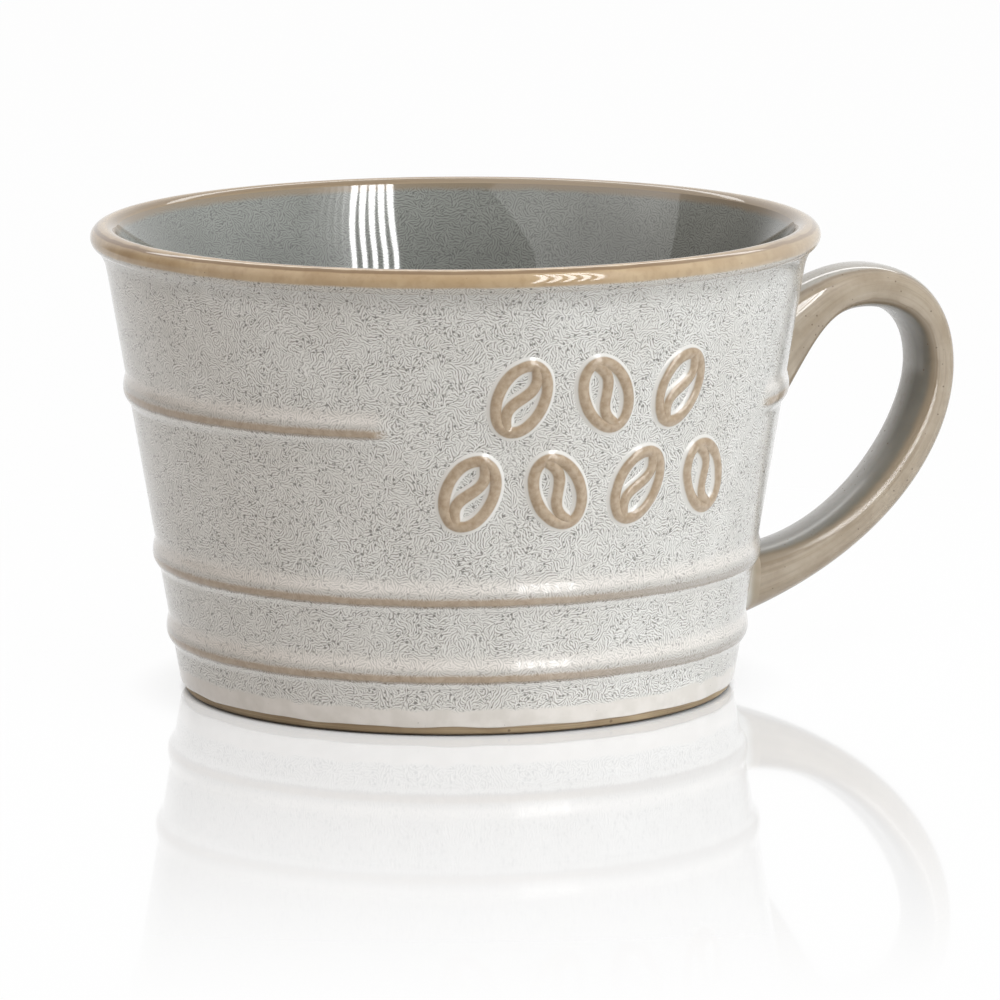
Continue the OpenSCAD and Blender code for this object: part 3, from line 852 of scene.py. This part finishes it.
outer_points, outer_faces = strap_skin(coat_rings, coat_sides, 0)
inner_points, inner_faces = strap_skin(coat_rings, coat_sides, glaze_thickness)
inner_start = len(outer_points)
last_ring = coat_rings * coat_sides
strap_faces = outer_faces + [tuple(inner_start + i for i in face) for face in inner_faces]
strap_faces += ring_faces(0, inner_start, coat_sides)
strap_faces += ring_faces(last_ring, inner_start + last_ring, coat_sides)
handle_coat = mesh_piece("handle_glaze_coat", outer_points + inner_points, strap_faces, handle_glaze_finish())
finger_side = handle_coat.data.attributes.new("finger_side", "FLOAT", "POINT")
strap_place = handle_coat.data.attributes.new("strap_place", "FLOAT_VECTOR", "POINT")
for i in range(len(handle_coat.data.vertices)):
    side = i % coat_sides
    turn = tau * side / coat_sides
    along = i % inner_start // coat_sides / coat_rings
    finger_side.data[i].value = 1.0 if side > coat_sides / 2 else 0.0
    strap_place.data[i].vector = (cos(turn), sin(turn), along)
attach(handle_coat, "root")
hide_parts("handle_glaze")

# The slip joints. Wet slip that lutes the handle's ends to the wall, wiped round each root with a finger
# to a small hollow fillet, where the glaze later pools white.
fillet_on_wall = 1.9 * mm
fillet_on_strap = 0.035
fillet_steps = 9
fillet_sides = 96
fillet_sink = 0.25 * mm


def hoop_swell(z):
    swell = 0
    for crest in hoop_crests.values():
        share = (z - crest) / (hoop_reach_above if z > crest else hoop_reach_below)
        if abs(share) < 1:
            swell = hoop_rise * cos(share * pi / 2) ** crest_power
    return swell


def on_wall(across, z, out):
    radius = wall_radius(z) + hoop_swell(z) + out
    return Vector((sqrt(radius ** 2 - across ** 2), across, z))


def slip_finish():
    finish, tree, place = new_finish("slip_fillet", Roughness=0.05, IOR=1.5)
    cloud = cloudy(tree, place, 220.0, 4.0)
    pool = mottled(tree, cloud, colour(192, 189, 182), colour(204, 202, 196))
    tan = mottled(tree, cloud, colour(150, 135, 114), colour(164, 149, 130))
    rise = mark_value(tree, "up_strap")
    line = product(tree, graded(tree, rise, 0.2, 0.32), graded(tree, rise, 0.42, 0.54, 0.6, 0.0))
    shade = blended(tree, line, pool, colour(150, 142, 130))
    shade = blended(tree, graded(tree, rise, 0.7, 0.93), shade, tan)
    shade = speckled(tree, place, shade, colour(112, 98, 80), 0.6)
    return coated(finish, shade, cloud, 0.15, 0.15 * mm)


def slip_fillet(name, end, step, finish):
    points = []
    ring = fillet_steps + 2
    turns = [tau * k / fillet_sides for k in range(fillet_sides)]
    middle_z = sum(strap_point(end, turn, 0)[2] for turn in turns) / fillet_sides
    for turn in turns:
        foot = Vector(strap_point(end, turn, 0))
        start = Vector(strap_point(end + step, turn, 0))
        away = Vector((0, foot.y, foot.z - middle_z)).normalized()
        hem = foot + away * fillet_on_wall
        hem = on_wall(hem.y, hem.z, glaze_thickness)
        corner = on_wall(foot.y, foot.z, glaze_thickness)
        for t in shares(fillet_steps):
            points.append(hem * (1 - t) ** 2 + corner * 2 * t * (1 - t) + start * t ** 2)
        sunk = foot - away * fillet_sink * 2
        points.append(on_wall(sunk.y, sunk.z, glaze_thickness - fillet_sink))
    faces = []
    for k in range(fillet_sides):
        faces += ring_faces(k * ring, (k + 1) % fillet_sides * ring, ring)
    fillet = mesh_piece(name, points, faces, finish)
    up_strap = fillet.data.attributes.new("up_strap", "FLOAT", "POINT")
    for i in range(len(points)):
        up_strap.data[i].value = min(1, i % ring / fillet_steps)
    return fillet


slip = slip_finish()
for joint, end, step in (("upper", 0.0, fillet_on_strap), ("lower", 1.0, -fillet_on_strap)):
    fillet = slip_fillet(joint + "_slip_fillet", end, step, slip)
    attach(fillet, "root")
    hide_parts(joint + "_slip_joint")

# The bean sprigs. Soft clay lines pressed in a mould and set on the wall in two rows, each an oval coffee
# bean with its crease. The glaze breaks to tan on their crowns and pools white along both sides.
bean_length = 12.6 * mm
bean_width = 8.8 * mm
line_width = 1.7 * mm
line_height = 0.8 * mm
line_skirt = 0.55 * mm
line_sink = 0.1 * mm
line_fullness = 2.2
line_softness = 1.6
crease_sway = 1.1 * mm
bean_tilt = radians(24)
bean_pitch = 13.6 * mm
bean_rows = {"upper": (3, 53.75 * mm), "lower": (4, 38.95 * mm)}
oval_steps = 72
crease_steps = 36
bean_shape = {"Pitch": bean_pitch, "Half Length": (bean_length - line_width) / 2,
              "Half Width": (bean_width - line_width) / 2, "Crease Sway": crease_sway, "Tilt": bean_tilt,
              "Line Height": line_height, "Base Radius": base_radius + glaze_thickness, "Slope": wall_slope}


# One row of beans: an oval and its crease swept with the line's section, repeated with the tilt changing
# sides, and wrapped round the wall
def bean_row_tree():
    inputs = {"Section": "Geometry", "Beans": "Int", "Row Height": "Float", "Finish": "Material",
              **dict.fromkeys(bean_shape, "Float")}
    tree, given = new_group("bean_row", "Geometry", inputs, {"Geometry": "Geometry"})
    section = formed(tree, "MeshToCurve", {"Mesh": given["Section"]})
    size = vector_of(tree, X=given["Half Width"], Y=given["Half Length"], Z=1.0)
    circle = formed(tree, "CurvePrimitiveCircle", {"Resolution": oval_steps, "Radius": 1.0})
    oval = formed(tree, "Transform", {"Geometry": circle, "Scale": size})
    tip = vector_of(tree, Y=given["Half Length"])
    tail = reckon_vector(tree, "SCALE", tip, -1.0)
    line = formed(tree, "CurvePrimitiveLine", {"Start": tail, "End": tip})
    line = formed(tree, "ResampleCurve", {"Curve": line, "Count": crease_steps})
    axes = axes_of(tree, tree.nodes.new("GeometryNodeInputPosition").outputs[0])
    along = product(tree, reckon(tree, "DIVIDE", axes["Y"], given["Half Length"]), pi)
    sway = product(tree, reckon(tree, "SINE", along), given["Crease Sway"])
    crease = formed(tree, "SetPosition", {"Geometry": line, "Offset": vector_of(tree, X=sway)})
    rope = formed(tree, "CurveToMesh", {"Curve": oval, "Profile Curve": section})
    groove = formed(tree, "CurveToMesh", {"Curve": crease, "Profile Curve": section, "Fill Caps": True})
    bean = tree.nodes.new("GeometryNodeJoinGeometry")
    tree.links.new(groove, bean.inputs[0])
    tree.links.new(rope, bean.inputs[0])
    crown = graded(tree, axes["Z"], 0.0, given["Line Height"], kind="LINEAR")
    mark = {"Geometry": bean.outputs[0], "Name": "crown", "Value": crown}
    bean = formed(tree, "StoreNamedAttribute", mark)
    run = product(tree, reckon(tree, "SUBTRACT", given["Beans"], 1.0), given["Pitch"])
    first = vector_of(tree, X=product(tree, run, -0.5))
    step = vector_of(tree, X=given["Pitch"])
    row = formed(tree, "MeshLine", {"Count": given["Beans"], "Start Location": first, "Offset": step})
    odd = reckon(tree, "MODULO", tree.nodes.new("GeometryNodeInputIndex").outputs[0], 2.0)
    sign = reckon(tree, "SUBTRACT", product(tree, odd, 2.0), 1.0)
    turn = vector_of(tree, Z=product(tree, given["Tilt"], sign))
    beans = formed(tree, "InstanceOnPoints", {"Points": row, "Instance": bean, "Rotation": turn})
    beans = formed(tree, "RealizeInstances", {"Geometry": beans})
    height = reckon(tree, "ADD", axes["Y"], given["Row Height"])
    row_radius = wall_at(tree, given, given["Row Height"])
    radius = reckon(tree, "ADD", wall_at(tree, given, height), axes["Z"])
    around = reckon(tree, "DIVIDE", axes["X"], row_radius)
    sideways = product(tree, radius, reckon(tree, "SINE", around))
    forwards = product(tree, product(tree, radius, reckon(tree, "COSINE", around)), -1.0)
    wrapped = vector_of(tree, X=sideways, Y=forwards, Z=height)
    beans = formed(tree, "SetPosition", {"Geometry": beans, "Position": wrapped})
    smooth = formed(tree, "SetShadeSmooth", {"Geometry": beans})
    dressed = formed(tree, "SetMaterial", {"Geometry": smooth, "Material": given["Finish"]})
    add_node(tree, "NodeGroupOutput", {0: dressed})
    return tree


def sprig_finish():
    finish, tree, place = new_finish("sprig_glaze", Roughness=0.1, IOR=1.5)
    drift = cloudy(tree, place, 300.0, 4.0)
    fine = cloudy(tree, place, 1200.0, 3.0)
    sway = product(tree, reckon(tree, "SUBTRACT", drift, 0.5), 0.3)
    crown = reckon(tree, "ADD", mark_value(tree, "crown"), sway)
    tan = mottled(tree, fine, colour(154, 132, 106), colour(174, 154, 130))
    shade = blended(tree, graded(tree, crown, 0.3, 0.62), colour(214, 210, 204), tan)
    return coated(finish, shade, drift, 0.15, 0.15 * mm)


def line_section(steps=22):
    half = line_width / 2 + line_skirt
    points = []
    for t in shares(steps):
        across = 2 * t - 1
        height = line_height * (1 - abs(across) ** line_fullness) ** line_softness
        points.append((across * half, -height, 0))
    points.append((half, line_sink, 0))
    points.append((-half, line_sink, 0))
    mesh = bpy.data.meshes.new("line_section")
    mesh.from_pydata(points, [(i, (i + 1) % len(points)) for i in range(len(points))], [])
    return mesh


bean_tree = bean_row_tree()
sprig_glaze = sprig_finish()
for row, (beans, row_height) in bean_rows.items():
    sizes = {**bean_shape, "Beans": beans, "Row Height": row_height, "Finish": sprig_glaze}
    sprigs = grown(row + "_bean_row", line_section(), bean_tree, sizes)
    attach(sprigs, "root")
    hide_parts(row + "_bean_sprigs")

# The table and the lamps. A white table top, polished near the cup. A soft lamp overhead, a cool soft box to
# the right and the room give the light. The other lamps, barred strips, a box behind, a board to the left and
# a panel on the table, show only in the gloss.
table_size = 6.0
gloss_ends = (60 * mm, 240 * mm)
shadow_start = 42.6 * mm
shadow_end = 44.4 * mm
shadow_fade = 54 * mm
shadow_open = 0.8
fade_open = 0.17
white = (1.0, 1.0, 1.0, 1.0)
lamp_middle = Vector((0, 0, 40 * mm))
cool_light = (0.8, 0.915, 1.0)
bar_rise = 30
bar_distance = 0.3
bar_height = 0.36
bar_lean = Quaternion((0, 0, 1), radians(-8))
panel_size = 0.32
panel_turn = radians(36)
panel_corner = Vector((43.3 * mm, 13.2 * mm))
panel_height = 0.5 * mm
panel_power = 0.18
room_level = 0.54
room_tint = (1.0, 0.953, 0.895, 1.0)
dark_end_lean = 0.3
dark_side_lean = 0.33


# Whether a ray comes from the camera or by way of a mirror or a glass
def seen_share(tree, path):
    seen = reckon(tree, "MAXIMUM", path["Is Camera Ray"], path["Is Glossy Ray"])
    return reckon(tree, "MAXIMUM", seen, path["Is Transmission Ray"])


def table_finish():
    finish, tree, place = new_finish("white_table")
    tree.nodes.remove(tree.nodes["Principled BSDF"])
    shade = blended(tree, cloudy(tree, place, 8.0, 2.0), colour(222, 222, 223), colour(225, 225, 225))
    lit = add_node(tree, "ShaderNodeBsdfDiffuse", {"Color": shade}).outputs[0]
    glow = add_node(tree, "ShaderNodeEmission", {"Strength": 1.0}).outputs[0]
    distance = reckon_vector(tree, "LENGTH", place)
    seen = seen_share(tree, tree.nodes.new("ShaderNodeLightPath").outputs)
    open_share = reckon(tree, "ADD", graded(tree, distance, shadow_start, shadow_end, 0.0, shadow_open),
                        graded(tree, distance, shadow_end, shadow_fade, 0.0, fade_open))
    bright = product(tree, seen, open_share)
    top = add_node(tree, "ShaderNodeMixShader", {0: bright, 1: lit, 2: glow}).outputs[0]
    gloss = add_node(tree, "ShaderNodeBsdfGlossy", {"Color": white, "Roughness": 0.04}).outputs[0]
    mirror = add_node(tree, "ShaderNodeFresnel", {"IOR": 1.45}).outputs[0]
    mirror = product(tree, mirror, graded(tree, distance, *gloss_ends, 1.0, 0.0))
    polished = add_node(tree, "ShaderNodeMixShader", {0: mirror, 1: top, 2: gloss}).outputs[0]
    tree.links.new(polished, tree.nodes["Material Output"].inputs["Surface"])
    return finish


half_table = table_size / 2
corners = [(x * half_table, y * half_table, 0) for x, y in ((-1, -1), (1, -1), (1, 1), (-1, 1))]
table = mesh_piece("table_top", corners, [(0, 1, 2, 3)], table_finish())


# A flat lamp that faces the cup, placed by its turn to the right of the camera and its rise, in degrees.
# It shows only in the gloss, or else gives light that no gloss shows.
def lamp(name, turn, rise, distance, width, height, power, in_gloss=True):
    away = direction(camera_turn - radians(turn), radians(rise))
    light = bpy.data.lights.new(name, "AREA")
    light.shape = "RECTANGLE"
    light.size = width
    light.size_y = height
    light.energy = power
    stand = placed(name, light)
    stand.location = lamp_middle + away * distance
    stand.rotation_mode = "QUATERNION"
    stand.rotation_quaternion = (-away).to_track_quat("-Z", "Y")
    stand.visible_camera = False
    stand.visible_glossy = in_gloss
    stand.visible_diffuse = not in_gloss
    return stand


def leaning_bars(name, count, turn, spacing, width, power, fading):
    for bar in range(count):
        strip = lamp(name % bar, turn + spacing * bar, bar_rise, bar_distance, width, bar_height,
                     power * fading ** bar)
        strip.rotation_quaternion = strip.rotation_quaternion @ bar_lean


lamp("overhead_lamp", turn=20, rise=68, distance=1.2, width=1.0, height=0.85, power=7.5, in_gloss=False)
right_box = lamp("right_soft_box", turn=58, rise=20, distance=1.1, width=0.9, height=0.7, power=7.1,
                 in_gloss=False)
right_box.data.color = cool_light
lamp("back_soft_box", turn=180, rise=43, distance=1.0, width=1.2, height=0.14, power=2.0)
leaning_bars("strip_bar_%d", count=5, turn=26, spacing=4.4, width=0.0105, power=0.16, fading=1.0)
leaning_bars("glow_bar_%d", count=6, turn=46.3, spacing=3.3, width=0.0175, power=0.03, fading=0.7)
lamp("left_board", turn=-60, rise=33, distance=1.0, width=1.15, height=1.0, power=2.6)

# A bright panel that lies on the table to the right, and that only the gloss of the wall shows
panel_light = bpy.data.lights.new("table_panel", "AREA")
panel_light.size = panel_size
panel_light.energy = panel_power
panel = placed("table_panel", panel_light)
forward = direction(camera_turn, 0)
panel_diagonal = Vector((cos(panel_turn) - sin(panel_turn), sin(panel_turn) + cos(panel_turn)))
panel_middle = panel_corner + panel_diagonal * panel_size / 2
panel.location = forward * panel_middle.x + picture_right * panel_middle.y + Vector((0, 0, panel_height))
panel.rotation_euler = (pi, 0, -pi / 2 - camera_turn + panel_turn)
panel.visible_camera = False
panel.visible_diffuse = False

# The room: white to the eye, a little warm and dim as light, and darker in mirrors towards the lens and
# to the left
world = bpy.data.worlds.new("studio")
world.use_nodes = True
bpy.context.scene.world = world
room = world.node_tree
path = room.nodes.new("ShaderNodeLightPath").outputs
seen = seen_share(room, path)
outlook = room.nodes.new("ShaderNodeTexCoord").outputs["Generated"]
dark_end = (forward - picture_right * dark_end_lean).normalized()
front = reckon_vector(room, "DOT_PRODUCT", outlook, dark_end)
dark_side = (picture_right * -1 - forward * dark_side_lean).normalized()
left = reckon_vector(room, "DOT_PRODUCT", outlook, dark_side)
mirrored = product(room, graded(room, front, 0.2, 0.7, 1.0, 0.5), graded(room, left, 0.72, 0.92, 1.0, 0.3))
level = graded(room, path["Is Camera Ray"], 0.0, 1.0, mirrored, 1.0, "LINEAR")
sky = room.nodes["Background"].inputs
room.links.new(graded(room, seen, 0.0, 1.0, room_level, level, "LINEAR"), sky["Strength"])
room.links.new(blended(room, seen, room_tint, white), sky["Color"])
